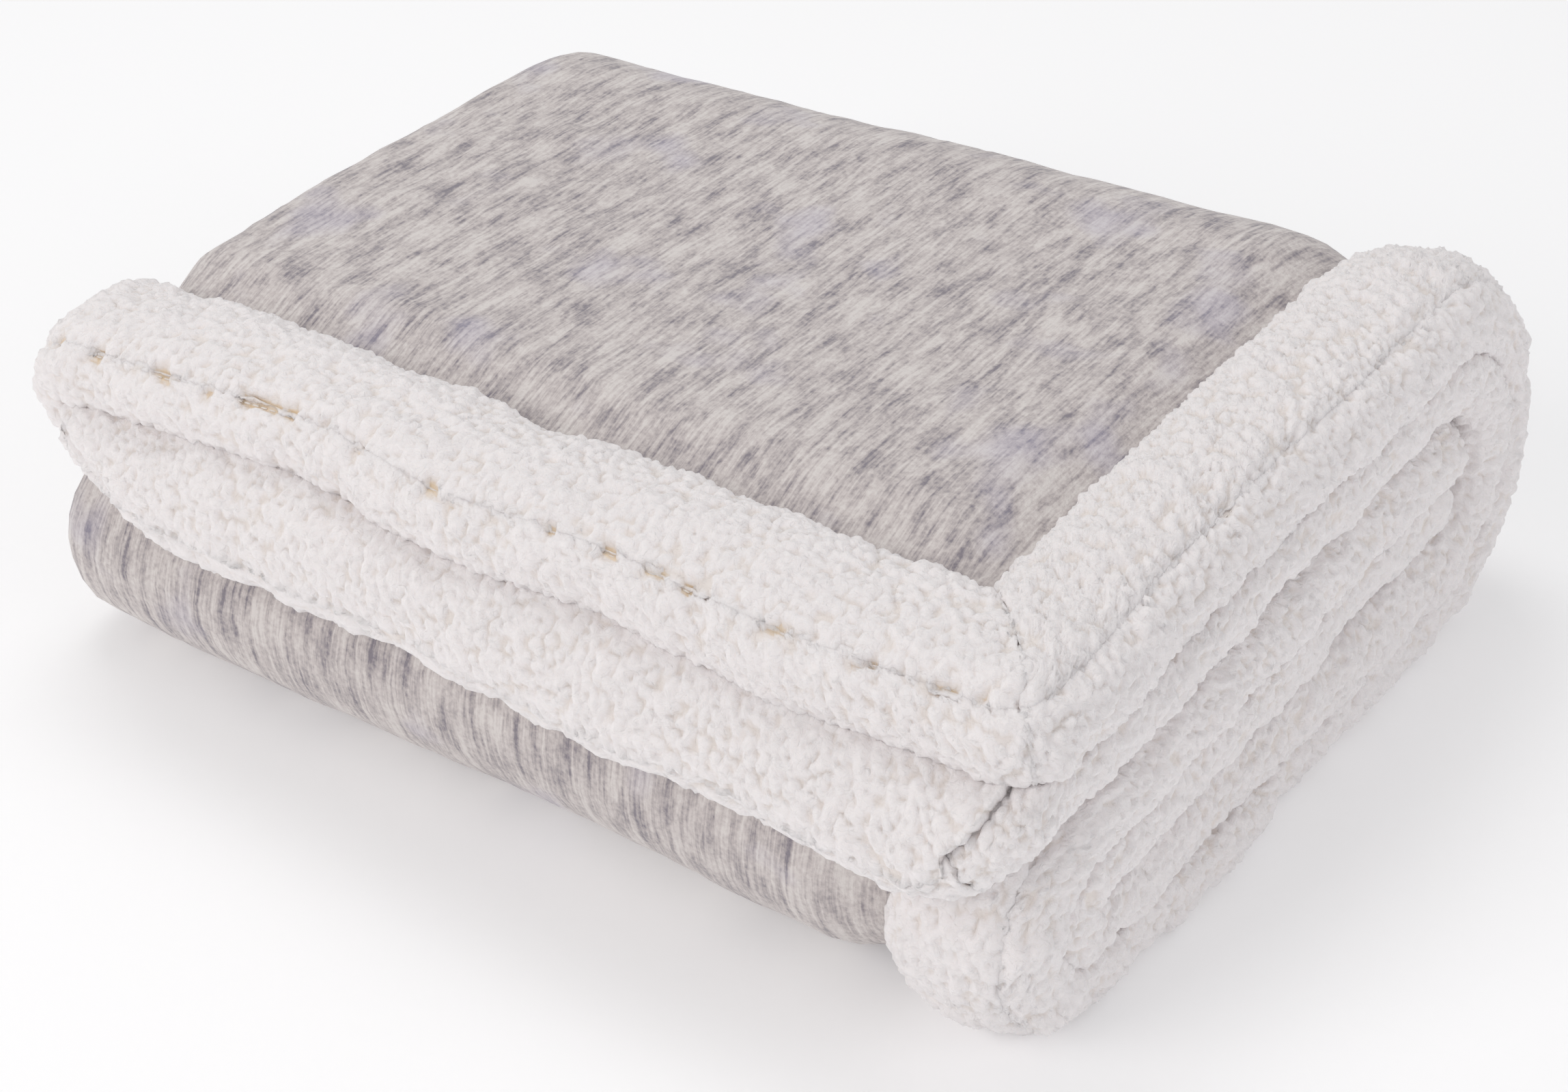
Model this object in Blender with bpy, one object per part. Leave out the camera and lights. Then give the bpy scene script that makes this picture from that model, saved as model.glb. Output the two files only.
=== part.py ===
"""A reversible throw, velour on one face and sherpa fleece on the other, folded for a shelf.

The cloth lies flat as a rectangle. It is folded in half across its width, velour outwards, and the
doubled cloth is then folded in thirds along its length, as a flat spiral: a top pass, a bend down
the back, a bottom pass, a bend up the front, and a middle pass that ends inside.

Each piece is a slab in the cloth's own coordinates, bent by one mapping into the folded shape:
    u  across the cloth, 0 on the half fold, positive on the outer half, negative on the inner half
    v  along the cloth, 0 where the top pass leaves its flat part to droop over the front
    k  through the cloth, 0 where the two sherpa faces meet, growing towards the velour
Frame: +X to the right along the front, +Y to the back, +Z up, origin on the floor under the middle.
"""

import math

import bmesh
import bpy
from mathutils import Matrix, Vector

# ---- driving dimensions, in metres ----
CLOTH_WIDTH = 0.762  # the flat cloth, across the half fold
STACK_DEPTH = 0.325  # front of the drooping hem to the back of the stack
HEM_THICKNESS = 0.0218  # backing, face and border together, where the hems lie
FOLD_THICKNESS = 0.0192  # backing and face together, along the half fold
FACE_THICKNESS = 0.0025  # velour
BORDER_THICKNESS = 0.0080  # sherpa strip sewn on the velour round the edge
BORDER_WIDTH = 0.041
PANEL_INSET = 0.009  # the velour stops this far inside the cloth's edge
DIP_WIDTH = 0.030  # the velour sinks to the border over this width
EDGE_ROUND = 0.0055  # the hem's edges are rounded by this much

# ---- the fold ----
PASS_GAP = 0.0010  # between one pass of the doubled cloth and the next
HALF_GAP = 0.0008  # between the two sherpa faces
LAYER_GAP = 0.0005  # between sewn layers
MITRE_GAP = 0.0020  # between two border strips at a corner
DROOP_RADIUS = 0.068  # the top pass curves down over the front, gently first
DROOP_ANGLE = math.radians(14)
HANG_INNER_RADIUS = 0.0052  # then tightly, to rest on the shoulder of the fold below
HANG_ANGLE = math.radians(46)
HANG_LENGTH = 0.018  # the straight part of the inner half's hem
HANG_RISE = 0.010  # how much shorter that is at the half fold
SHIFT_FROM = 0.020  # the hem line steps from the outer half at this u
SHIFT_TO = -0.075  # to the inner half at this u
FRONT_SETBACK = 0.0165  # the bottom fold sits this far behind the drooping hem
NOSE_SHARE = 0.88  # how far the inner end reaches into the back bend, by the fold thickness

# ---- thread and label ----
SEAM_WIDTH = 0.0018
SEAM_HEIGHT = 0.0016
SEAM_INSET = 0.0040
STITCH_WIDTH = 0.0030
STITCH_HEIGHT = 0.0012
STITCH_GAP = 0.0015  # from the border's inner edge
LABEL_WIDTH = 0.030
LABEL_LENGTH = 0.022
LABEL_THICKNESS = 0.0008
LABEL_PLACE = 0.150  # from the half fold, on the outer half

# ---- worked out from those ----
HALF_WIDTH = CLOTH_WIDTH / 2
FOLD_ARC = math.pi / 2 * FOLD_THICKNESS * 0.7  # half of the half fold's arc, along mid-cloth
FOLDED_WIDTH = HALF_WIDTH - FOLD_ARC + FOLD_THICKNESS
FOLD_X = -FOLDED_WIDTH / 2 + FOLD_THICKNESS
HEM_PITCH = 2 * HEM_THICKNESS + PASS_GAP
DROOP_LENGTH = DROOP_RADIUS * DROOP_ANGLE
HANG_RADIUS = HEM_THICKNESS + HANG_INNER_RADIUS
HANG_ARC = HANG_RADIUS * HANG_ANGLE
HANG_END_ANGLE = DROOP_ANGLE + HANG_ANGLE
DROOP_REACH = (
    DROOP_RADIUS * math.sin(DROOP_ANGLE)
    + HANG_RADIUS * (math.sin(HANG_END_ANGLE) - math.sin(DROOP_ANGLE))
    + HANG_LENGTH * math.cos(HANG_END_ANGLE)
)
DROOP_START_Y = -STACK_DEPTH / 2 + DROOP_REACH
BACK_Y = STACK_DEPTH / 2 - HEM_PITCH - HEM_THICKNESS
FRONT_Y = -STACK_DEPTH / 2 + FRONT_SETBACK + HEM_PITCH / 2 + HEM_THICKNESS
TOP_END = BACK_Y - DROOP_START_Y
BACK_END = TOP_END + math.pi * HEM_PITCH
BOTTOM_END = BACK_END + BACK_Y - FRONT_Y
FRONT_END = BOTTOM_END + math.pi * HEM_PITCH / 2
MIDDLE_END = FRONT_END + BACK_Y - FRONT_Y
INNER_END = MIDDLE_END + NOSE_SHARE * FOLD_THICKNESS
OUTER_START = -DROOP_LENGTH
INNER_START = -DROOP_LENGTH - HANG_ARC - HANG_LENGTH


def smooth(value):
    """0 up to 0, 1 from 1 on, and an even S between them."""
    value = min(1.0, max(0.0, value))
    return value * value * (3 - 2 * value)


def cloth_thickness(x):
    """Thickness of one half of the doubled cloth at x: more towards the hems."""
    share = (x - FOLD_X) / (FOLDED_WIDTH / 2 - BORDER_WIDTH - FOLD_X)
    return FOLD_THICKNESS + (HEM_THICKNESS - FOLD_THICKNESS) * min(1.0, max(0.0, share))


def start_of(u):
    """Where the cloth's front end is along v: the inner half hangs further than the outer."""
    rise = HANG_RISE * (1 - min(1.0, abs(u) / HALF_WIDTH))
    share = smooth((SHIFT_FROM - u) / (SHIFT_FROM - SHIFT_TO))
    return OUTER_START + (INNER_START + rise - OUTER_START) * share


def route(v, x):
    """The middle of the doubled cloth at v: (y, z, outward normal's y, outward normal's z)."""
    half = cloth_thickness(x)
    pitch = 2 * half + PASS_GAP
    top = half + 2 * pitch
    if v < 0:
        droop = min(-v / DROOP_RADIUS, DROOP_ANGLE)
        y = DROOP_START_Y - DROOP_RADIUS * math.sin(droop)
        z = top - DROOP_RADIUS * (1 - math.cos(droop))
        hang = min(max(-v - DROOP_LENGTH, 0) / HANG_RADIUS, HANG_ANGLE)
        turned = droop + hang
        y -= HANG_RADIUS * (math.sin(turned) - math.sin(droop))
        z -= HANG_RADIUS * (math.cos(droop) - math.cos(turned))
        straight = max(-v - DROOP_LENGTH - HANG_ARC, 0)
        y -= straight * math.cos(turned)
        z -= straight * math.sin(turned)
        return y, z, -math.sin(turned), math.cos(turned)
    if v < TOP_END:
        return DROOP_START_Y + v, top, 0.0, 1.0
    if v < BACK_END:
        turned = math.pi * (v - TOP_END) / (BACK_END - TOP_END)
        out_y, out_z = math.sin(turned), math.cos(turned)
        return BACK_Y + pitch * out_y, half + pitch + pitch * out_z, out_y, out_z
    if v < BOTTOM_END:
        return BACK_Y - (v - BACK_END), half, 0.0, -1.0
    if v < FRONT_END:
        turned = math.pi * (v - BOTTOM_END) / (FRONT_END - BOTTOM_END)
        out_y, out_z = -math.sin(turned), -math.cos(turned)
        return FRONT_Y + pitch / 2 * out_y, half + pitch / 2 + pitch / 2 * out_z, out_y, out_z
    return FRONT_Y + v - FRONT_END, half + pitch, 0.0, 1.0


def fold(u, v, k):
    """The folded cloth's point at cloth coordinates u and v, k out from the middle."""
    beyond = max(0.0, v - MIDDLE_END) / cloth_thickness(x_of(u))
    if abs(u) < FOLD_ARC:
        angle = math.pi / 2 * u / FOLD_ARC
        x, k = FOLD_X - k * math.cos(angle), k * math.sin(angle)
    else:
        x, k = FOLD_X + abs(u) - FOLD_ARC, math.copysign(k, u)
    k *= math.sqrt(1 - beyond * beyond)
    y, z, out_y, out_z = route(v, x)
    return Vector((x, y + k * out_y, z + k * out_z))


def x_of(u):
    return FOLD_X + max(0.0, abs(u) - FOLD_ARC)


def edge_distance(u, v):
    """How far a point of the cloth is from the cloth's nearest edge."""
    return min(HALF_WIDTH - abs(u), v - start_of(u), INNER_END - v)


def rounding(edge):
    """How much the hem's outer face drops at this distance from the edge."""
    return EDGE_ROUND * (1 - min(1.0, max(0.0, edge) / EDGE_ROUND))


def border_under(u, v):
    return cloth_thickness(x_of(u)) - BORDER_THICKNESS


def face_top(u, v):
    """The velour's pile face: it slopes down to pass under the border."""
    sunk = BORDER_THICKNESS + LAYER_GAP
    share = (BORDER_WIDTH + DIP_WIDTH - edge_distance(u, v)) / DIP_WIDTH
    return cloth_thickness(x_of(u)) - sunk * min(1.0, max(0.0, share))


def backing_top(u, v):
    return face_top(u, v) - FACE_THICKNESS - LAYER_GAP


def spread(low, high, pieces):
    return [low + (high - low) * n / pieces for n in range(pieces + 1)]


BORDER_LINES = [0, EDGE_ROUND] + spread(PANEL_INSET, BORDER_WIDTH, 4)
DROOP_LINES = spread(BORDER_WIDTH + 0.007, BORDER_WIDTH + DIP_WIDTH, 3) + [0.083, 0.094]


def edge_lines(inset):
    """Distances from a cloth edge of the lines that follow it, for a piece that starts this far in."""
    return [inset] + [line for line in BORDER_LINES[1:] if line > inset + LAYER_GAP]


def u_stations(inset):
    """Lines along the cloth, from the inner half's hem to the outer half's."""
    distances = edge_lines(inset) + [BORDER_WIDTH + DIP_WIDTH]
    flat = [HALF_WIDTH - distance for distance in distances]
    outer = flat + spread(-SHIFT_TO, FOLD_ARC, 4)
    return [-u for u in outer] + spread(-FOLD_ARC, FOLD_ARC, 8)[1:-1] + outer[::-1]


def v_stations(u, inset):
    """Lines across the cloth at this u, from the front end, which they follow, to the inner end."""
    front = [start_of(u) + distance for distance in edge_lines(inset) + DROOP_LINES]
    bends = spread(TOP_END, BACK_END, 10) + spread(BOTTOM_END, FRONT_END, 8)
    distances = edge_lines(inset) + [BORDER_WIDTH + DIP_WIDTH]
    inside = [INNER_END - distance for distance in distances[::-1]]
    return front + [TOP_END * 0.6] + bends + inside


def mitred(position, low, high, inset):
    """A station moved towards the middle of a strip, so that the strip's end is cut at 45 degrees."""
    zone = BORDER_WIDTH + DIP_WIDTH
    shift_low = inset * max(0.0, 1 - (position - low) / zone)
    shift_high = inset * max(0.0, 1 - (high - position) / zone)
    return position + shift_low - shift_high


def material(name, colour, roughness):
    made = bpy.data.materials.new(name)
    made.use_nodes = True
    shader = made.node_tree.nodes["Principled BSDF"]
    shader.inputs["Base Color"].default_value = (*colour, 1)
    shader.inputs["Roughness"].default_value = roughness
    shader.inputs["Metallic"].default_value = 0
    made.diffuse_color = (*colour, 1)
    return made


def slab(name, columns, rows, place, finish):
    """A closed slab of columns by rows cells: place(column, row, side) puts each of its points."""
    shape = bmesh.new()
    bmesh.ops.create_grid(shape, x_segments=columns, y_segments=rows, size=0.5)
    extruded = bmesh.ops.extrude_face_region(shape, geom=shape.faces[:])
    outer = [item for item in extruded["geom"] if isinstance(item, bmesh.types.BMVert)]
    bmesh.ops.translate(shape, verts=outer, vec=(0, 0, 1))
    bmesh.ops.recalc_face_normals(shape, faces=shape.faces[:])
    for point in shape.verts:
        column = round((point.co.x + 0.5) * columns)
        row = round((point.co.y + 0.5) * rows)
        point.co = place(column, row, round(point.co.z))
    if shape.calc_volume(signed=True) < 0:
        bmesh.ops.reverse_faces(shape, faces=shape.faces[:])
    mesh = bpy.data.meshes.new(name)
    shape.to_mesh(mesh)
    shape.free()
    mesh.materials.append(finish)
    made = bpy.data.objects.new(name, mesh)
    bpy.context.scene.collection.objects.link(made)
    return made


def wide_piece(name, inset, low, high, finish):
    """A piece that covers the whole cloth but for an inset, between two levels of k."""
    across = u_stations(inset)
    rows = len(v_stations(0, inset))

    def place(column, row, side):
        u = across[column]
        v = v_stations(u, inset)[row]
        return fold(u, v, high(u, v) if side else low(u, v))

    return slab(name, len(across) - 1, rows - 1, place, finish)


def side_strip(name, half, insets, low, high, finish):
    """A strip along one long edge of the cloth. half is 1 on the outer half, -1 on the inner."""
    rows = len(v_stations(0, 0))

    def place(column, row, side):
        inset = insets[column]
        u = half * (HALF_WIDTH - inset)
        v = mitred(v_stations(u, 0)[row], start_of(u), INNER_END, inset + MITRE_GAP)
        return fold(u, v, high(u, v, inset) if side else low(u, v, inset))

    return slab(name, len(insets) - 1, rows - 1, place, finish)


def end_strip(name, front, insets, low, high, finish):
    """A strip along one short edge of the cloth: the front end, or the end inside the stack."""
    across = u_stations(0)

    def place(column, row, side):
        inset = insets[row]
        u = mitred(across[column], -HALF_WIDTH, HALF_WIDTH, inset + MITRE_GAP)
        v = start_of(u) + inset if front else INNER_END - inset
        return fold(u, v, high(u, v, inset) if side else low(u, v, inset))

    return slab(name, len(across) - 1, len(insets) - 1, place, finish)


def strips(prefix, insets, low, high, finish):
    """The same strip along all four edges of the cloth."""
    side_strip(prefix + "_outer_side", 1, insets, low, high, finish)
    side_strip(prefix + "_inner_side", -1, insets, low, high, finish)
    end_strip(prefix + "_front_end", True, insets, low, high, finish)
    end_strip(prefix + "_inside_end", False, insets, low, high, finish)


def face_panel():
    velour = material("grey_velour", (0.45, 0.44, 0.45), 0.85)
    bottom = lambda u, v: face_top(u, v) - FACE_THICKNESS
    wide_piece("face_panel", PANEL_INSET, bottom, face_top, velour)


def sherpa_backing(sherpa):
    bottom = lambda u, v: HALF_GAP / 2 + rounding(edge_distance(u, v))
    wide_piece("sherpa_backing", 0, bottom, backing_top, sherpa)


def borders(sherpa):
    low = lambda u, v, inset: border_under(u, v)
    high = lambda u, v, inset: border_under(u, v) + BORDER_THICKNESS - rounding(inset)
    strips("border", BORDER_LINES, low, high, sherpa)


def hem_seams(thread):
    """The seam that joins the border to the backing, inside the hem."""
    insets = [SEAM_INSET, SEAM_INSET + SEAM_WIDTH]
    room = FACE_THICKNESS + 2 * LAYER_GAP
    low = lambda u, v, inset: border_under(u, v) - (room + SEAM_HEIGHT) / 2
    high = lambda u, v, inset: border_under(u, v) - (room - SEAM_HEIGHT) / 2
    strips("hem_seam", insets, low, high, thread)


def edge_stitching(thread):
    """The row of stitches that ties the border's inner edge to the velour."""
    insets = [BORDER_WIDTH + STITCH_GAP, BORDER_WIDTH + STITCH_GAP + STITCH_WIDTH]
    low = lambda u, v, inset: face_top(u, v) + LAYER_GAP
    high = lambda u, v, inset: face_top(u, v) + LAYER_GAP + STITCH_HEIGHT
    strips("edge_stitching", insets, low, high, thread)


def care_label(satin):
    """A blank label, caught by the stitching at the end that lies inside the stack."""
    stitched = BORDER_WIDTH + STITCH_GAP + STITCH_WIDTH + LAYER_GAP
    first = INNER_END - stitched - LABEL_LENGTH

    def place(column, row, side):
        u = LABEL_PLACE + LABEL_WIDTH * column
        v = first + LABEL_LENGTH * row / 6
        return fold(u, v, face_top(u, v) + LAYER_GAP + LABEL_THICKNESS * side)

    slab("care_label", 1, 6, place, satin)


def centre_over_origin():
    """Moves the whole stack along Y, so that the origin is under the middle of its depth."""
    meshes = [made.data for made in bpy.context.scene.objects]
    depths = [point.co.y for mesh in meshes for point in mesh.vertices]
    shift = Matrix.Translation((0, -(min(depths) + max(depths)) / 2, 0))
    for mesh in meshes:
        mesh.transform(shift)


for old in list(bpy.data.objects):
    bpy.data.objects.remove(old)

white_sherpa = material("white_sherpa", (0.86, 0.85, 0.84), 0.95)
white_thread = material("white_thread", (0.80, 0.78, 0.75), 0.60)
face_panel()
sherpa_backing(white_sherpa)
borders(white_sherpa)
hem_seams(white_thread)
edge_stitching(white_thread)
care_label(material("label_satin", (0.88, 0.88, 0.88), 0.40))
centre_over_origin()
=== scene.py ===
import itertools
import math

import bmesh
import bpy
import numpy as np
from bpy.props import FloatProperty, FloatVectorProperty, PointerProperty
from bpy.types import Operator, Panel, PropertyGroup
from mathutils import Matrix, Vector


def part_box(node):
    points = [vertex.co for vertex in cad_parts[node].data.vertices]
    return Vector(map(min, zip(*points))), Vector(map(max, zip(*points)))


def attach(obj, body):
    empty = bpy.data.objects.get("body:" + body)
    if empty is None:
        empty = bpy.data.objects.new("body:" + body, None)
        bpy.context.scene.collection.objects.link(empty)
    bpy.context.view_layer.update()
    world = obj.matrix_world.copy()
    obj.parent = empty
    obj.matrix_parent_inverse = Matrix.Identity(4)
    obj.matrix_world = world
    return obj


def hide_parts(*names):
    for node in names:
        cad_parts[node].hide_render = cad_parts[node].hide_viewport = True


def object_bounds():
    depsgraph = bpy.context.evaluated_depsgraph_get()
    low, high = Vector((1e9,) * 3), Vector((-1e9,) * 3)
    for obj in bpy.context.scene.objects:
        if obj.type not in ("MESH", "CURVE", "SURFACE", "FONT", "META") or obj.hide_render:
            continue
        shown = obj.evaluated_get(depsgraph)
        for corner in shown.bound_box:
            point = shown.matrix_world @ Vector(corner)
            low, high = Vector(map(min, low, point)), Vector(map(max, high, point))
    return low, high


bl_info = {
    "name": "Folded Throw",
    "version": (1, 0, 0),
    "blender": (4, 5, 0),
    "location": "3D View > Sidebar > Throw",
    "description": "Makes the cloth, the sherpa pile and the stitching of a folded reversible throw",
    "category": "Object",
}

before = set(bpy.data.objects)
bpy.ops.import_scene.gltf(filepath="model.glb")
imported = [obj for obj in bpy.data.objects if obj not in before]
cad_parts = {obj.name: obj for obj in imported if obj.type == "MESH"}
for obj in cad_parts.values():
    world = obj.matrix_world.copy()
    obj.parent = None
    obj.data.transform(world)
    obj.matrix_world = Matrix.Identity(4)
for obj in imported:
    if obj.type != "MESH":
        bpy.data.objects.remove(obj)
CAD_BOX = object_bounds()

# ---- the folded cloth, in metres, as the frame has it ----
CLOTH_WIDTH = 0.762
STACK_DEPTH = 0.325
HEM_THICKNESS = 0.0218
FOLD_THICKNESS = 0.0192
FACE_THICKNESS = 0.0025
BORDER_THICKNESS = 0.0080
BORDER_WIDTH = 0.041
PANEL_INSET = 0.009
DIP_WIDTH = 0.030
PASS_GAP = 0.0010
HALF_GAP = 0.0008
LAYER_GAP = 0.0005
DROOP_RADIUS = 0.068
DROOP_ANGLE = math.radians(14)
HANG_RADIUS = HEM_THICKNESS + 0.0052
HANG_ANGLE = math.radians(46)
HANG_LENGTH = 0.018
HANG_RISE = 0.010
SHIFT_FROM = 0.020
SHIFT_TO = -0.075
FRONT_SETBACK = 0.0165
NOSE_SHARE = 0.88

HALF_WIDTH = CLOTH_WIDTH / 2
FOLD_ARC = math.pi / 2 * FOLD_THICKNESS * 0.7
FOLDED_WIDTH = HALF_WIDTH - FOLD_ARC + FOLD_THICKNESS
FOLD_X = -FOLDED_WIDTH / 2 + FOLD_THICKNESS
HEM_PITCH = 2 * HEM_THICKNESS + PASS_GAP
DROOP_LENGTH = DROOP_RADIUS * DROOP_ANGLE
HANG_ARC = HANG_RADIUS * HANG_ANGLE
HANG_END_ANGLE = DROOP_ANGLE + HANG_ANGLE
DROOP_REACH = (
    DROOP_RADIUS * math.sin(DROOP_ANGLE)
    + HANG_RADIUS * (math.sin(HANG_END_ANGLE) - math.sin(DROOP_ANGLE))
    + HANG_LENGTH * math.cos(HANG_END_ANGLE)
)
DROOP_START_Y = -STACK_DEPTH / 2 + DROOP_REACH
BACK_Y = STACK_DEPTH / 2 - HEM_PITCH - HEM_THICKNESS
FRONT_Y = -STACK_DEPTH / 2 + FRONT_SETBACK + HEM_PITCH / 2 + HEM_THICKNESS
TOP_END = BACK_Y - DROOP_START_Y
BACK_END = TOP_END + math.pi * HEM_PITCH
BOTTOM_END = BACK_END + BACK_Y - FRONT_Y
FRONT_END = BOTTOM_END + math.pi * HEM_PITCH / 2
MIDDLE_END = FRONT_END + BACK_Y - FRONT_Y
INNER_END = MIDDLE_END + NOSE_SHARE * FOLD_THICKNESS
OUTER_START = -DROOP_LENGTH
INNER_START = -DROOP_LENGTH - HANG_ARC - HANG_LENGTH
SHIFT_Y = CAD_BOX[1].y - STACK_DEPTH / 2  # the frame is centred over its origin

# ---- how the real fabric departs from the plain fold ----
CORNER_RADIUS = 0.015  # the cloth's corners are rounded
HANG_CORNER_RADIUS = 0.034  # and the corner that hangs below the front edge is rounder
HEM_WANDER = 0.0022  # the hems' edges wander in and out by this much
SETTLE = 0.0016  # the whole stack is uneven by this much
FRONT_SAG = 0.0085  # the front right corner sags by this much
LOWER_FORWARD = 0.008  # the lower fold comes forward on the left by this much
OVERHANG_PUFF = 0.0046  # the loose pile of the overhanging half stands this far off the cloth
OVERHANG_TUCK = 0.012  # it reaches this far under the outer half
OVERHANG_BASE = 0.0035  # and this deep into the backing
PRESS = 0.002  # what lies lower than this is pressed flat by the weight above

# ---- hems, seams and stitches ----
CREST = 0.0044  # the crease between border and hem, from the cloth's edge
CREST_LEVEL = -0.0006  # and below the border's face
SEAM_REACH = 0.0036  # the pile parts within this of the crease
SEAM_SINK = 0.0018  # the seam's thread lies this far down the crease
SEAM_THREAD = 0.0003  # the threads' radii
WHIP_THREAD = 0.0004
SEAM_PULL = 0.0005  # the thread pulls the pile down by this much
HOLE_LENGTH = 0.0048  # the partings along the crease
HOLE_DEPTH = 0.0008
LUMP_LENGTH = 0.012  # the pile lies in low lumps, wider than its curls
LUMP_HEIGHT = 0.0012
CAP_SHARE = 0.7  # the section at a strip's end, against the rest
MITRE_LAP = 0.0014  # the strips run into each other by this much at the corners

# ---- mesh spacing ----
FINE_STEP = 0.0011  # where the pile shows
COARSE_STEP = 0.0050  # where it is hidden
VELOUR_STEP = 0.0045  # the velour, across and along
VELOUR_ROW = 0.0046
BEND_STEP = 0.0026  # the velour round the half fold
BACKING_STEP = 0.0055
BACKING_INSET = 0.0055  # the hems take over from here to the cloth's edge
OUTLINE_SCALE = 0.001  # outlines are drawn in millimetres


def linear(colour):
    """An sRGB hex colour as linear red, green and blue."""
    shares = [int(colour[n:n + 2], 16) / 255 for n in (1, 3, 5)]
    return [s / 12.92 if s <= 0.04045 else ((s + 0.055) / 1.055) ** 2.4 for s in shares]


# ---------------------------------------------------------------- the fold


def smooth(value):
    """0 up to 0, 1 from 1 on, and an even S between them."""
    value = np.clip(value, 0, 1)
    return value * value * (3 - 2 * value)


def x_of(u):
    return FOLD_X + np.maximum(0, np.abs(u) - FOLD_ARC)


def cloth_thickness(u):
    """Thickness of one half of the doubled cloth: more towards the hems."""
    share = (x_of(u) - FOLD_X) / (FOLDED_WIDTH / 2 - BORDER_WIDTH - FOLD_X)
    return FOLD_THICKNESS + (HEM_THICKNESS - FOLD_THICKNESS) * np.clip(share, 0, 1)


def start_of(u):
    """Where the cloth's front end is along v: the inner half hangs further than the outer."""
    rise = HANG_RISE * (1 - np.minimum(1, np.abs(u) / HALF_WIDTH))
    share = smooth((SHIFT_FROM - u) / (SHIFT_FROM - SHIFT_TO))
    return OUTER_START + (INNER_START + rise - OUTER_START) * share


def route(v, half):
    """The middle of the doubled cloth at v: y, z and the outward normal's y and z."""
    pitch = 2 * half + PASS_GAP
    top = half + 2 * pitch
    droop = np.clip(-v / DROOP_RADIUS, 0, DROOP_ANGLE)
    turned = droop + np.clip((-v - DROOP_LENGTH) / HANG_RADIUS, 0, HANG_ANGLE)
    straight = np.maximum(-v - DROOP_LENGTH - HANG_ARC, 0)
    reach = DROOP_RADIUS * np.sin(droop) + HANG_RADIUS * (np.sin(turned) - np.sin(droop))
    drop = DROOP_RADIUS * (1 - np.cos(droop)) + HANG_RADIUS * (np.cos(droop) - np.cos(turned))
    reach += straight * np.cos(turned)
    drop += straight * np.sin(turned)
    back = math.pi * np.clip((v - TOP_END) / (BACK_END - TOP_END), 0, 1)
    front = math.pi * np.clip((v - BOTTOM_END) / (FRONT_END - BOTTOM_END), 0, 1)
    level = np.zeros_like(v)
    where = [v < 0, v < TOP_END, v < BACK_END, v < BOTTOM_END, v < FRONT_END]
    y = np.select(where, [
        DROOP_START_Y - reach,
        DROOP_START_Y + v,
        BACK_Y + pitch * np.sin(back),
        BACK_Y - (v - BACK_END),
        FRONT_Y - pitch / 2 * np.sin(front),
    ], FRONT_Y + v - FRONT_END)
    z = np.select(where, [
        top - drop,
        top,
        half + pitch + pitch * np.cos(back),
        half,
        half + pitch / 2 - pitch / 2 * np.cos(front),
    ], half + pitch)
    out_y = np.select(where, [-np.sin(turned), level, np.sin(back), level, -np.sin(front)], level)
    out_z = np.select(where, [np.cos(turned), level + 1, np.cos(back), level - 1, -np.cos(front)],
                      level + 1)
    return y, z, out_y, out_z


def rounded_corners(u, v):
    """The cloth's own coordinates with its four corners rounded off, most where it overhangs."""
    radius = np.where((u < 0) & (v < TOP_END / 2), HANG_CORNER_RADIUS, CORNER_RADIUS)
    side = np.sign(u)
    side_in = 1 - (HALF_WIDTH - np.abs(u)) / radius
    start = start_of(u)
    front_in = 1 - (v - start) / radius
    inside_in = 1 - (INNER_END - v) / radius
    end_in = np.maximum(front_in, inside_in)
    both = (side_in > 0) & (end_in > 0)
    keep = np.where(both, np.maximum(side_in, end_in) / np.maximum(np.hypot(side_in, end_in), 1e-6), 1)
    new_u = side * (HALF_WIDTH - (1 - side_in * keep) * radius)
    from_end = (1 - end_in * keep) * radius
    new_v = np.where(front_in > inside_in, start + from_end, INNER_END - from_end)
    return np.where(both, new_u, u), np.where(both, new_v, v)


def hashed(cells, channel):
    """A number from 0 to 1 for each lattice cell, the same one each run."""
    keys = cells.astype(np.int64)
    mixed = keys[:, 0] * 73856093 ^ keys[:, 1] * 19349663 ^ keys[:, 2] * 83492791
    mixed = (mixed ^ (channel * 2654435761)) & 0xFFFFFFFF
    mixed = ((mixed ^ (mixed >> 15)) * 0x2C1B3C6D) & 0xFFFFFFFF
    mixed = ((mixed ^ (mixed >> 12)) * 0x297A2D39) & 0xFFFFFFFF
    return (mixed ^ (mixed >> 15)) / 0xFFFFFFFF


def drift(points, wavelength, channel):
    """Smooth noise from -1 to 1 with features about one wavelength long."""
    at = points / wavelength
    base = np.floor(at)
    share = smooth(at - base)
    total = np.zeros(len(points))
    for corner in itertools.product((0, 1), repeat=3):
        weight = np.prod(np.where(corner, share, 1 - share), axis=1)
        total += weight * hashed(base + corner, channel)
    return 2 * total - 1


def unruly(u, v):
    """The hems' edges wander in and out, and the cloth next to them with it."""
    side = HALF_WIDTH - np.abs(u)
    flat = np.zeros_like(u)
    along = np.stack([v, np.sign(u), flat], axis=1)
    fade = np.clip(1 - side / (2 * BORDER_WIDTH), 0, 1)
    moved_u = u + np.sign(u) * HEM_WANDER * fade * drift(along / [1, 0.01, 1], 0.055, 1)
    end = v - start_of(u)
    fade = np.clip(1 - end / (2 * BORDER_WIDTH), 0, 1)
    across = np.stack([u, flat, flat], axis=1)
    return moved_u, v + HEM_WANDER * fade * drift(across, 0.060, 2)


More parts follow.
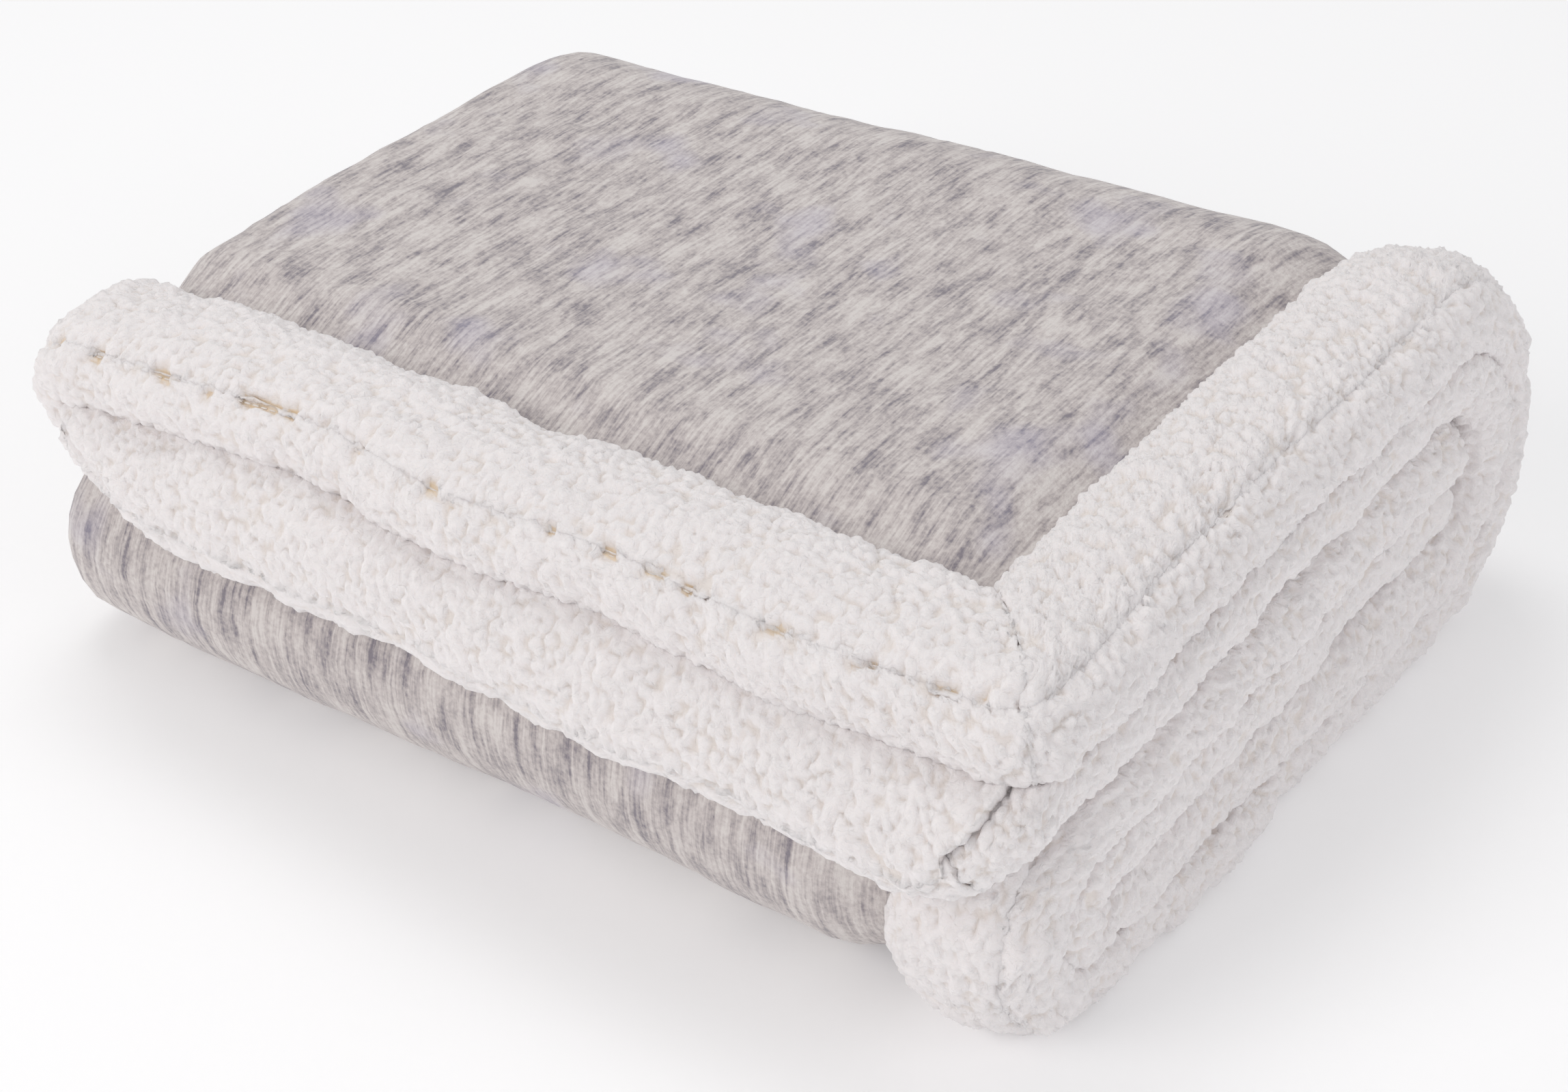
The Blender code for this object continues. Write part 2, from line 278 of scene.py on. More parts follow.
def fold(u, v, k):
    """The folded cloth's points at cloth coordinates u and v, k out from the middle."""
    u, v, k = np.broadcast_arrays(np.asarray(u, float), np.asarray(v, float), np.asarray(k, float))
    u, v = unruly(*rounded_corners(u, v))
    half = cloth_thickness(u)
    beyond = np.clip((v - MIDDLE_END) / half, 0, 0.985)  # the inner end rounds off to a blunt nose
    angle = math.pi / 2 * np.clip(u / FOLD_ARC, -1, 1)
    x = x_of(u) - k * np.cos(angle)
    k = k * np.sin(angle) * np.sqrt(1 - beyond * beyond)
    y, z, out_y, out_z = route(v, half)
    points = np.stack([x, y + k * out_y + SHIFT_Y, z + k * out_z], axis=1)
    return rested(settled(points))


def settled(points):
    """The whole stack is a little uneven: the front edge sags on the right, and the lower fold
    comes forward on the left."""
    moved = points.copy()
    height = np.clip(points[:, 2] / 0.03, 0, 1)
    for axis in range(3):
        moved[:, axis] += SETTLE * height * drift(points, 0.085, 10 + axis)
    across = np.exp(-((points[:, 0] - 0.14) / 0.14) ** 2)
    depth = np.exp(-((points[:, 1] + 0.130) / 0.080) ** 2)
    moved[:, 2] -= FRONT_SAG * across * depth * smooth(points[:, 2] / 0.12)
    left = smooth((0.06 - points[:, 0]) / 0.22)
    front = smooth((-0.06 - points[:, 1]) / 0.08) * smooth((0.085 - points[:, 2]) / 0.045)
    moved[:, 1] -= LOWER_FORWARD * left * front
    return moved


def rested(points):
    """The lowest cloth is pressed flat by the weight above it, and never below the floor."""
    low = points[:, 2] < PRESS
    points[low, 2] = PRESS * np.exp((points[low, 2] - PRESS) / PRESS)
    return points


def edge_distance(u, v):
    """How far a point of the cloth is from the cloth's nearest edge."""
    return np.minimum(np.minimum(HALF_WIDTH - np.abs(u), v - start_of(u)), INNER_END - v)


def face_top(u, v):
    """The velour's pile face: it sinks softly to pass under the border."""
    sunk = BORDER_THICKNESS + LAYER_GAP
    share = (BORDER_WIDTH + DIP_WIDTH - edge_distance(u, v)) / DIP_WIDTH
    return cloth_thickness(u) - sunk * smooth(share)


# ---------------------------------------------------------------- meshes


def steps(low, high, step):
    """Even stations from low to high, about one step apart, without the last."""
    return list(np.linspace(low, high, max(2, round(abs(high - low) / step) + 1))[:-1])


def as_object(name, shape, finish):
    """Turns a finished bmesh into a named piece on the object's body."""
    mesh = bpy.data.meshes.new(name)
    shape.to_mesh(mesh)
    shape.free()
    mesh.materials.append(finish)
    mesh.shade_smooth()
    made = bpy.data.objects.new(name, mesh)
    bpy.context.scene.collection.objects.link(made)
    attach(made, "root")
    return made


def grid_cells(shape, columns, rows):
    """The column and row of each vertex of a unit grid."""
    flat = np.array([point.co[:] for point in shape.verts])
    return (np.rint((flat[:, 0] + 0.5) * columns).astype(int),
            np.rint((flat[:, 1] + 0.5) * rows).astype(int), np.rint(flat[:, 2]).astype(int))


def put(shape, places):
    for point, place in zip(shape.verts, places):
        point.co = place


def outwards(shape):
    if shape.calc_volume(signed=True) < 0:
        bmesh.ops.reverse_faces(shape, faces=shape.faces[:])


def wide_piece(name, across, along, ends, low, high, finish):
    """A closed slab over a stretch of the cloth, from ends(u) to ends(u) along it, between two levels
    of k. Its cloth coordinates are kept as a UV map."""
    columns, rows = len(across) - 1, len(along) - 1
    shape = bmesh.new()
    bmesh.ops.create_grid(shape, x_segments=columns, y_segments=rows, size=0.5)
    extruded = bmesh.ops.extrude_face_region(shape, geom=shape.faces[:])
    outer = [item for item in extruded["geom"] if isinstance(item, bmesh.types.BMVert)]
    bmesh.ops.translate(shape, verts=outer, vec=(0, 0, 1))
    bmesh.ops.recalc_face_normals(shape, faces=shape.faces[:])
    column, row, side = grid_cells(shape, columns, rows)
    u = across[column]
    first, last = ends(u)
    v = first + (last - first) * along[row]
    put(shape, fold(u, v, np.where(side == 1, high(u, v), low(u, v))))
    outwards(shape)
    layer = shape.loops.layers.uv.new("cloth")
    for face in shape.faces:
        for loop in face.loops:
            loop[layer].uv = (u[loop.vert.index], v[loop.vert.index])
    return as_object(name, shape, finish)


def all_but(inset):
    """The whole length of the cloth but for an inset at both ends."""
    return lambda u: (start_of(u) + inset, INNER_END - inset)


def closed_outline(points, fine_count):
    """A smooth closed curve through the points, resampled: fine over the first fine_count spans."""
    points = np.array(points, float)
    found = []
    for n in range(len(points)):
        before, here, after, beyond = (points[(n + d) % len(points)] for d in (-1, 0, 1, 2))
        step = FINE_STEP if n < fine_count else COARSE_STEP
        pieces = max(1, round(float(np.hypot(*((after - here) * OUTLINE_SCALE))) / step))
        for t in np.arange(pieces) / pieces:
            found.append(0.5 * (2 * here + (after - before) * t
                                + (2 * before - 5 * here + 4 * after - beyond) * t * t
                                + (3 * here - before - 3 * after + beyond) * t ** 3))
    return np.array(found)


# The border strip's section: inset from the cloth's edge, and height above the hem's thickness.
BORDER_OUTLINE = [
    (9.0, -5.4), (5.4, -4.4), (3.4, -1.2), (7.4, 2.8), (15.0, 4.4), (25.0, 4.6), (34.0, 3.2),
    (41.4, -0.4), (43.8, -5.6), (40.0, -8.2), (25.0, -8.2), (13.0, -7.6),
]
BORDER_FINE = 8
# The hem's own section, where the backing wraps round its edge: inset, and height above the middle.
HEM_OUTLINE = [
    (12.0, 6.0), (8.6, 10.6), (3.0, 10.6), (-1.6, 6.8), (-4.2, 0.6), (-4.4, -5.2), (-2.4, -10.2),
    (2.4, -12.2), (7.4, -10.8), (10.0, -2.0),
]
HEM_FINE = 8
HEM_HALF = 0.0107  # the half thickness that the section is drawn for


def border_level(u, height):
    return cloth_thickness(u) + height


def hem_level(u, height):
    middle = (cloth_thickness(u) + HALF_GAP / 2) / 2
    return middle + height * (middle - HALF_GAP / 2) / HEM_HALF


def strip(name, edge, outline, level, stations, finish):
    """A closed tube of one section that follows an edge of the cloth, its ends cut to a mitre."""
    columns, rows = len(outline), len(stations) - 1
    shape = bmesh.new()
    bmesh.ops.create_grid(shape, x_segments=columns, y_segments=rows, size=0.5)
    column, row, side = grid_cells(shape, columns, rows)
    closing = np.where((row == 0) | (row == rows), CAP_SHARE, 1)  # each end is drawn in a little
    middle = outline.mean(axis=0)
    inset, height = (middle + (outline[column % columns] - middle) * closing[:, None]).T * OUTLINE_SCALE
    share = stations[row]
    if edge in ("outer_side", "inner_side"):
        u = (1 if edge == "outer_side" else -1) * (HALF_WIDTH - inset)
        start = start_of(u) + inset
        v = start - MITRE_LAP + (INNER_END - inset - start + 2 * MITRE_LAP) * share
    else:
        u = (HALF_WIDTH - inset + MITRE_LAP) * (2 * share - 1)
        v = start_of(u) + inset if edge == "front_end" else INNER_END - inset
    k = level(u, height)
    put(shape, fold(u, v, k))
    gap = np.hypot(inset - CREST, k - cloth_thickness(u) - CREST_LEVEL)
    closeness = shape.verts.layers.float.new("seam")
    for point, value in zip(shape.verts, np.exp(-(gap / SEAM_REACH) ** 2)):
        point[closeness] = value
    joined = [point for point, c in zip(shape.verts, column) if c in (0, columns)]
    bmesh.ops.remove_doubles(shape, verts=joined, dist=1e-7)
    open_edges = [item for item in shape.edges if item.is_boundary]
    for cap in bmesh.ops.holes_fill(shape, edges=open_edges, sides=0)["faces"]:
        loop = cap.loops[0]
        if loop.link_loop_radial_next.vert == loop.vert:
            cap.normal_flip()
    outwards(shape)
    return as_object(name, shape, finish)


# ---------------------------------------------------------------- pile


def curls(points, length, width):
    """Height of the matted locks, from 0 in the creases to 1: each lock is a bump longer than wide."""
    warp = np.stack([drift(points, 0.009, 20 + n) for n in range(3)], axis=1)
    at = (points + 0.0012 * warp) / width
    base = np.floor(at)
    best = np.full(len(points), -1.0)
    for offset in itertools.product((-1, 0, 1), repeat=3):
        cell = base + offset
        centre = cell + np.stack([hashed(cell, 30 + n) for n in range(3)], axis=1)
        turn = 2 * math.pi * hashed(cell, 33)
        tilt = 2 * hashed(cell, 34) - 1
        flat = np.sqrt(1 - tilt * tilt)
        away = at - centre
        along = away[:, 0] * flat * np.cos(turn) + away[:, 1] * flat * np.sin(turn) + away[:, 2] * tilt
        across = np.maximum((away ** 2).sum(axis=1) - along ** 2, 0)
        lift = 0.65 + 0.35 * hashed(cell, 35)
        best = np.maximum(best, lift - 1.7 * (along * width / length) ** 2 - 1.7 * across)
    return np.clip(best, 0, 1)


def grow(made, height):
    """Moves each point of a piece along its normal by height(points), and shades it anew."""
    mesh = made.data
    count = len(mesh.vertices)
    points = np.empty(count * 3, np.float32)
    normals = np.empty(count * 3, np.float32)
    mesh.vertices.foreach_get("co", points)
    mesh.vertex_normals.foreach_get("vector", normals)
    points = points.reshape(-1, 3).astype(float)
    lift = height(points)
    points += normals.reshape(-1, 3) * lift[:, None]
    mesh.vertices.foreach_set("co", rested(points).astype(np.float32).ravel())
    mesh.update()


def grow_pile(made, sizes, parted=0.0):
    """Gives a sherpa piece its curls, and keeps how deep each point lies for the material, which uses
    it to paint shade darker into the creases between curls. Where it is parted, short holes open along
    the crest seam."""
    depth = made.data.attributes.new("pile", "FLOAT", "POINT")
    near = np.zeros(len(made.data.vertices), np.float32)
    if "seam" in made.data.attributes:
        made.data.attributes["seam"].data.foreach_get("value", near)

    def height(points):
        small = curls(points, sizes.curl_length, sizes.curl_width)
        lumps = drift(points, LUMP_LENGTH, 40)
        hole = parted * near * smooth((drift(points, HOLE_LENGTH, 41) - 0.10) / 0.25)
        share = np.clip(0.15 + 0.85 * small + 0.15 * lumps, 0.15, 1) * (1 - hole)
        depth.data.foreach_set("value", share.astype(np.float32))
        relief = sizes.pile_height * (share - 0.55)
        return relief + LUMP_HEIGHT * lumps - SEAM_PULL * near - HOLE_DEPTH * hole

    grow(made, height)


# ---------------------------------------------------------------- materials


def node(tree, kind, settings=None, links=None):
    """Adds a node, sets its properties and its unlinked sockets, and links the others."""
    made = tree.nodes.new("ShaderNode" + kind)
    for key, value in (settings or {}).items():
        if isinstance(key, str) and hasattr(made, key):
            setattr(made, key, value)
        else:
            made.inputs[key].default_value = value
    for key, source in (links or {}).items():
        tree.links.new(source, made.inputs[key])
    return made


def ramp(tree, source, stops):
    """A colour ramp through (position, colour) stops."""
    made = node(tree, "ValToRGB", links={"Fac": source})
    elements = made.color_ramp.elements
    while len(elements) < len(stops):
        elements.new(0.5)
    for element, (position, colour) in zip(elements, stops):
        element.position = position
        element.color = (*colour, 1)
    return made.outputs["Color"]


def fabric(name):
    made = bpy.data.materials.new(name)
    made.use_nodes = True
    tree = made.node_tree
    return made, tree, tree.nodes["Principled BSDF"].inputs


def mixed(tree, share, first, second):
    """Two colours mixed by a share."""
    made = node(tree, "Mix", {"data_type": "RGBA"})
    for socket, value in ((0, share), (6, first), (7, second)):
        if isinstance(value, bpy.types.NodeSocket):
            tree.links.new(value, made.inputs[socket])
        else:
            made.inputs[socket].default_value = value if socket == 0 else (*value, 1)
    return made.outputs[2]


def flannel_velour(sizes, colours):
    """Printed flannel velour: short brushed polyester pile over a knit, with a heather of
    long dark and pale dashes along the throw. The nap is matte, with a faint sheen at its edges."""
    made, tree, shader = fabric("flannel_velour_heather_grey")
    cloth = node(tree, "UVMap", {"uv_map": "cloth"}).outputs["UV"]
    place = node(tree, "TexCoord").outputs["Object"]

    def dashes(width, length, detail, rough):
        stretched = node(tree, "Mapping", {"Scale": (1 / width, 1 / length, 1)}, {"Vector": cloth})
        return node(tree, "TexNoise",
                    {"Scale": 1.0, "Detail": detail, "Roughness": rough, "Distortion": 0.25},
                    {"Vector": stretched.outputs["Vector"]}).outputs["Fac"]

    fine = dashes(sizes.heather_width, sizes.heather_length, 3.0, 0.6)
    broad = dashes(sizes.heather_width * 3.5, sizes.heather_length * 1.8, 2.0, 0.5)
    tuft = node(tree, "TexNoise", {"Scale": 560.0, "Detail": 2.0, "Roughness": 0.65},
                {"Vector": place}).outputs["Fac"]
    dashed = node(tree, "Math", {"operation": "MULTIPLY", 1: 0.55}, {0: fine})
    patched = node(tree, "Math", {"operation": "MULTIPLY_ADD", 1: 0.45},
                   {0: broad, 2: dashed.outputs[0]})
    tufted = node(tree, "Math", {"operation": "MULTIPLY_ADD", 1: 0.34},
                  {0: tuft, 2: patched.outputs[0]})
    cloud = node(tree, "TexNoise", {"Scale": 70.0, "Detail": 2.0}, {"Vector": place}).outputs["Fac"]
    mottled = node(tree, "Math", {"operation": "MULTIPLY_ADD", 1: 0.28},
                   {0: cloud, 2: tufted.outputs[0]}).outputs[0]
    heather = ramp(tree, mottled, [
        (0.63, colours.velour_dark), (0.745, colours.velour_mid), (0.84, colours.velour_light),
        (0.95, colours.velour_pale),
    ])
    patch = node(tree, "TexNoise", {"Scale": 28.0, "Detail": 2.0}, {"Vector": place}).outputs["Fac"]
    tinted = node(tree, "MapRange", {"From Min": 0.58, "From Max": 0.72, "To Max": 0.24},
                  {"Value": patch}).outputs["Result"]
    tree.links.new(mixed(tree, tinted, heather, colours.velour_tint), shader["Base Color"])
    shader["Roughness"].default_value = 0.92
    shader["Specular IOR Level"].default_value = 0.2
    shader["Sheen Weight"].default_value = 0.25
    shader["Sheen Roughness"].default_value = 0.5
    nap = node(tree, "Bump", {"Strength": 0.55, "Distance": 0.0009}, {"Height": tuft})
    tree.links.new(nap.outputs["Normal"], shader["Normal"])
    return made


def sherpa_fleece(colours):
    """Sherpa fleece: long polyester pile, tumbled until it mats into soft curls. It is bright and
    matte, light soaks into it, and the partings between curls show the warm knit below. Elsewhere the
    colour is painted darker between the curls, as painted shade."""
    made, tree, shader = fabric("sherpa_fleece_white")
    place = node(tree, "TexCoord").outputs["Object"]
    depth = node(tree, "Attribute", {"attribute_name": "pile"}).outputs["Fac"]
    fibres = node(tree, "TexNoise",
                  {"Scale": 900.0, "Detail": 3.0, "Roughness": 0.65, "Distortion": 1.2},
                  {"Vector": place}).outputs["Fac"]
    locks = node(tree, "TexNoise", {"Scale": 330.0, "Detail": 2.0, "Distortion": 1.6},
                 {"Vector": place}).outputs["Fac"]
    # The pile's colour is painted darker in the creases between the curls (painted shade); only the
    # partings' bottoms take the knit's own tan.
    pile = ramp(tree, depth, [
        (0.0, colours.sherpa_deep), (0.12, colours.sherpa_crease_painted_shade), (0.45, colours.sherpa),
        (1.0, colours.sherpa),
    ])
    tree.links.new(pile, shader["Base Color"])
    shader["Roughness"].default_value = 0.95
    shader["Specular IOR Level"].default_value = 0.15
    shader["Sheen Weight"].default_value = 0.15
    shader["Sheen Roughness"].default_value = 0.6
    shader["Subsurface Weight"].default_value = 0.35
    shader["Subsurface Radius"].default_value = (1.0, 0.95, 0.9)
    shader["Subsurface Scale"].default_value = 0.003
    curl = node(tree, "Bump", {"Strength": 0.65, "Distance": 0.0012}, {"Height": locks})
    fibre = node(tree, "Bump", {"Strength": 0.35, "Distance": 0.0006},
                 {"Height": fibres, "Normal": curl.outputs["Normal"]})
    tree.links.new(fibre.outputs["Normal"], shader["Normal"])
    return made


def sewing_thread(colours):
    """Spun polyester sewing thread, undyed: slightly warm, with a soft lustre and a fine twist whose
    grooves are painted darker as painted shade.
    """
    made, tree, shader = fabric("spun_polyester_thread")
    place = node(tree, "TexCoord").outputs["Object"]
    twist = node(tree, "TexWave", {"Scale": 700.0, "Distortion": 2.0}, {"Vector": place})
    # The twist's low parts are painted darker: painted shade.
    tree.links.new(
        ramp(tree, twist.outputs["Fac"], [(0.0, colours.thread_groove_painted_shade), (0.6, colours.thread)]),
        shader["Base Color"])
    shader["Roughness"].default_value = 0.55
    shader["Sheen Weight"].default_value = 0.3
    twisted = node(tree, "Bump", {"Strength": 0.4, "Distance": 0.0002},
                   {"Height": twist.outputs["Fac"]})
    tree.links.new(twisted.outputs["Normal"], shader["Normal"])
    return made


def label_satin(colours):
    """Woven satin tape: smooth and slightly shiny, its weave drawn coarse enough to show, its grooves
    painted darker as painted shade.
    """
    made, tree, shader = fabric("woven_satin_label")
    place = node(tree, "TexCoord").outputs["Object"]
    weave = node(tree, "TexWave", {"Scale": 900.0, "Distortion": 0.5}, {"Vector": place})
    # The weave's low parts are painted darker: painted shade.
    tree.links.new(
        ramp(tree, weave.outputs["Fac"], [(0.0, colours.thread_groove_painted_shade), (0.5, colours.label)]),
        shader["Base Color"])
    shader["Roughness"].default_value = 0.38
    ribs = node(tree, "Bump", {"Strength": 0.3, "Distance": 0.0001}, {"Height": weave.outputs["Fac"]})
    tree.links.new(ribs.outputs["Normal"], shader["Normal"])
    return made


def shared(maker, name, *facts):
    """The material of that name, made once."""
    return bpy.data.materials.get(name) or maker(*facts)


# ---------------------------------------------------------------- properties


def length(name, description, default):
    return FloatProperty(name=name, description=description, default=default, min=0.0001,
                         soft_max=0.1, unit="LENGTH", precision=5)


def colour(name, description, default):
    return FloatVectorProperty(name=name, description=description, default=linear(default),
                               subtype="COLOR", size=3, min=0, max=1)


class ThrowSizes(PropertyGroup):
    """Sizes of the pile, the heather and the stitches."""
    pile_height: length("Pile height", "From the creases to the tops of the sherpa curls", 0.0029)
    curl_length: length("Curl length", "Length of one sherpa curl", 0.0048)
    curl_width: length("Curl width", "Width of one sherpa curl", 0.0030)
    heather_length: length("Heather length", "Length of the heather's dashes", 0.012)
    heather_width: length("Heather width", "Width of the heather's dashes", 0.0013)
    stitch_pitch: length("Stitch pitch", "From one stitch to the next", 0.0034)


class ThrowColours(PropertyGroup):
    """Colours of the velour, the sherpa, the thread and the floor."""
    velour_dark: colour("Velour dark", "The heather's darkest dashes", "#89838b")
    velour_mid: colour("Velour mid", "The velour's ground", "#b6aeae")
    velour_light: colour("Velour light", "The heather's light dashes", "#cdc5c3")
    velour_pale: colour("Velour pale", "The palest tufts", "#ddd7d4")
    velour_tint: colour("Velour tint", "Faint lavender patches", "#b5b2cf")
    sherpa: colour("Sherpa", "The tops of the curls", "#f3eeee")
    # Painted shade: the sherpa's colour painted darker between the curls, where shade falls.
    sherpa_crease_painted_shade: colour("Sherpa shade", "Between the curls", "#ebe3de")
    sherpa_deep: colour("Sherpa deep", "The knit at the bottom of a parting", "#e2c9a6")
    thread: colour("Thread", "Sewing thread", "#f0ebe6")
    # Painted shade: the colour painted darker in the grooves of the thread's twist and of the label's
    # weave.
    thread_groove_painted_shade: colour("Thread shade", "The thread's twist", "#d9cfc6")
    label: colour("Label", "The blank label", "#f2f1ef")
    floor: colour("Floor", "The floor under the throw", "#f7f7f8")


# ---------------------------------------------------------------- pieces


EDGES = ("outer_side", "inner_side", "front_end", "inside_end")


def edge_stations(edge):
    """Rows along an edge: fine where its pile shows, coarse where it is folded inside."""
    if edge in ("outer_side", "inner_side"):
        return np.array(steps(0, 1, FINE_STEP / (INNER_END - OUTER_START)) + [1])
    if edge == "inside_end":
        return np.array(steps(0, 1, COARSE_STEP / CLOTH_WIDTH) + [1])
    return np.array(steps(0, 0.44, 2 * FINE_STEP / CLOTH_WIDTH)
                    + steps(0.44, 1, FINE_STEP / CLOTH_WIDTH) + [1])


class THROW_OT_velour(Operator):
    """Make the heathered velour face panel"""
    bl_idname = "throw.velour"
    bl_label = "Velour face"

    def execute(self, context):
        sizes, colours = context.scene.throw_sizes, context.scene.throw_colours
        finish = flannel_velour(sizes, colours)
        edge = HALF_WIDTH - PANEL_INSET
        outer = steps(FOLD_ARC, edge, VELOUR_STEP)
        bend = steps(-FOLD_ARC, FOLD_ARC, BEND_STEP)
        across = np.array([-edge] + [-u for u in outer[:0:-1]] + bend + outer + [edge])
        along = np.array(steps(0, 1, VELOUR_ROW / (INNER_END - OUTER_START)) + [1])
        made = wide_piece("velour_face", across, along, all_but(PANEL_INSET),
                          lambda u, v: face_top(u, v) - FACE_THICKNESS, face_top, finish)
        grow(made, lambda points: 0.0005 * drift(points, 0.017, 50) + 0.0004 * drift(points, 0.006, 51))
        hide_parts("face_panel")
        return {"FINISHED"}


class THROW_OT_sherpa(Operator):
    """Make the sherpa backing, and the hems where it wraps round the edges"""
    bl_idname = "throw.sherpa"
    bl_label = "Sherpa backing and hems"

    def execute(self, context):
        sizes, colours = context.scene.throw_sizes, context.scene.throw_colours
        finish = shared(sherpa_fleece, "sherpa_fleece_white", colours)
        hem = closed_outline(HEM_OUTLINE, HEM_FINE)
        for edge in EDGES:
            made = strip("sherpa_hem_" + edge, edge, hem, hem_level, edge_stations(edge), finish)
            grow_pile(made, sizes, edge == "front_end")
        reach = HALF_WIDTH - BACKING_INSET
        across = np.array(steps(-reach, reach, BACKING_STEP) + [reach])
        along = np.array(steps(0, 1, BACKING_STEP / (INNER_END - OUTER_START)) + [1])
        backing = wide_piece(
            "sherpa_backing_cloth", across, along, all_but(BACKING_INSET),
            lambda u, v: np.full_like(u, HALF_GAP / 2),
            lambda u, v: face_top(u, v) - FACE_THICKNESS - LAYER_GAP, finish)
        backing.data.attributes.new("pile", "FLOAT", "POINT").data.foreach_set(
            "value", np.ones(len(backing.data.vertices), np.float32))
        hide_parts("sherpa_backing")
        return {"FINISHED"}


class THROW_OT_overhang(Operator):
    """Make the backing's own pile where the inner half hangs below the outer half's hem"""
    bl_idname = "throw.overhang"
    bl_label = "Overhanging pile"

    def execute(self, context):
        sizes, colours = context.scene.throw_sizes, context.scene.throw_colours
        finish = shared(sherpa_fleece, "sherpa_fleece_white", colours)
        first, last = -HALF_WIDTH + 0.0065, -0.4 * FOLD_ARC
        across = np.array(steps(first, last, FINE_STEP) + [last])
        along = np.array(steps(0, 1, FINE_STEP / (OUTER_START - INNER_START)) + [1])

        def ends(u):
            return start_of(u) - 0.0005, OUTER_START + OVERHANG_TUCK + 0 * u

        def level(u, v):
            """The pile swells from under the outer half's hem to this half's own edge."""
            bare = OUTER_START - start_of(u)
            share = np.clip((OUTER_START + 0.004 - v) / np.maximum(bare, 0.001), 0, 1.1)
            rise = smooth((OUTER_START + 0.007 - v) / 0.009) * smooth((1.2 - share) / 0.30)
            return 0.0001 - OVERHANG_PUFF * rise * smooth(bare / 0.02)

        made = wide_piece("sherpa_overhang", across, along, ends,
                          lambda u, v: np.full_like(u, OVERHANG_BASE), level, finish)
        grow_pile(made, sizes)
        return {"FINISHED"}


class THROW_OT_borders(Operator):
    """Make the four sherpa border strips"""
    bl_idname = "throw.borders"
    bl_label = "Border strips"

    def execute(self, context):
        sizes, colours = context.scene.throw_sizes, context.scene.throw_colours
        finish = shared(sherpa_fleece, "sherpa_fleece_white", colours)
        outline = closed_outline(BORDER_OUTLINE, BORDER_FINE)
        for edge in EDGES:
            made = strip("sherpa_border_" + edge, edge, outline, border_level, edge_stations(edge),
                         finish)
            grow_pile(made, sizes, edge == "front_end")
            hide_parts("border_" + edge)
        return {"FINISHED"}


def stitch_row(name, edge, ends, thread, sizes, finish):
    """A row of stitches along an edge. Each of the two ends is (inset, level, slant along the edge)."""
    run = INNER_END - OUTER_START if edge in ("outer_side", "inner_side") else CLOTH_WIDTH
    count = round(run / sizes.stitch_pitch)
    share = (np.arange(count) + 0.5) / count
    tips = []
    for inset, level, slant in ends:
        if edge in ("outer_side", "inner_side"):
            u = np.full(count, (1 if edge == "outer_side" else -1) * (HALF_WIDTH - inset))
            start = start_of(u) + inset
            v = start + (INNER_END - inset - start) * share + slant
        else:
            u = (HALF_WIDTH - inset) * (2 * share - 1) + slant
            v = start_of(u) + inset if edge == "front_end" else INNER_END - inset + 0 * u
        tips.append(fold(u, v, cloth_thickness(u) + level))
    shape = bmesh.new()
    for first, second in zip(*tips):
        stitch = Vector(second - first)
        turn = stitch.to_track_quat("Z", "Y").to_matrix().to_4x4()
        size = Matrix.Diagonal((thread, thread, stitch.length / 2, 1))
        where = Matrix.Translation(Vector((first + second) / 2))
        bmesh.ops.create_uvsphere(shape, u_segments=6, v_segments=4, radius=1,
                                  matrix=where @ turn @ size)
    made = as_object(name, shape, finish)
    return made


class THROW_OT_stitches(Operator):
    """Sew the hem seams on the crest, and the whip stitches along the border's inner edge"""
    bl_idname = "throw.stitches"
    bl_label = "Seams and stitches"

    def execute(self, context):
        sizes, colours = context.scene.throw_sizes, context.scene.throw_colours
        finish = shared(sewing_thread, "spun_polyester_thread", colours)
        for edge in EDGES:
            slant = 0.4 * sizes.stitch_pitch
            level = CREST_LEVEL - SEAM_SINK
            seam = stitch_row("seam_stitches_" + edge, edge,
                              [(CREST, level, -slant), (CREST, level, slant)],
                              SEAM_THREAD, sizes, finish)
            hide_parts("hem_seam_" + edge)
            whip = stitch_row("whip_stitches_" + edge, edge,
                              [(BORDER_WIDTH + 0.0012, -0.0052, -0.0005),
                               (BORDER_WIDTH + 0.0042, -0.0080, 0.0005)],
                              WHIP_THREAD, sizes, finish)
            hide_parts("edge_stitching_" + edge)
        return {"FINISHED"}


class THROW_OT_label(Operator):
    """Make the blank care label, which lies inside the stack"""
    bl_idname = "throw.label"
    bl_label = "Care label"

    def execute(self, context):
        finish = label_satin(context.scene.throw_colours)
        low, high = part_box("care_label")
        shape = bmesh.new()
        bmesh.ops.create_grid(shape, x_segments=12, y_segments=10, size=0.5)
        for point in shape.verts:
            share = Vector((point.co.x + 0.5, point.co.y + 0.5))
            point.co.x = low.x + (high.x - low.x) * share.x
            point.co.y = low.y + (high.y - low.y) * share.y
            point.co.z = low.z + (high.z - low.z) * (0.35 + 0.3 * math.sin(3 * share.y) ** 2)
        made = as_object("blank_care_label", shape, finish)
        solid = made.modifiers.new("tape", "SOLIDIFY")
        solid.thickness = 0.0004
        solid.offset = 0
        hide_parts("care_label")
        return {"FINISHED"}


CAMERA_AZIMUTH = math.radians(37.8)
CAMERA_ELEVATION = math.radians(34.7)
CAMERA_ROLL = math.radians(-1.9)
CAMERA_LENS = 66.3
CAMERA_PLACE = (0.488, -0.625, 0.574)


def area_light(name, place, target, size, power, tint):
    lamp = bpy.data.lights.new(name, "AREA")
    lamp.size = size
    lamp.energy = power
    lamp.color = tint
    made = bpy.data.objects.new(name, lamp)
    made.location = place
    made.rotation_euler = (Vector(target) - Vector(place)).to_track_quat("-Z", "Y").to_euler()
    bpy.context.scene.collection.objects.link(made)


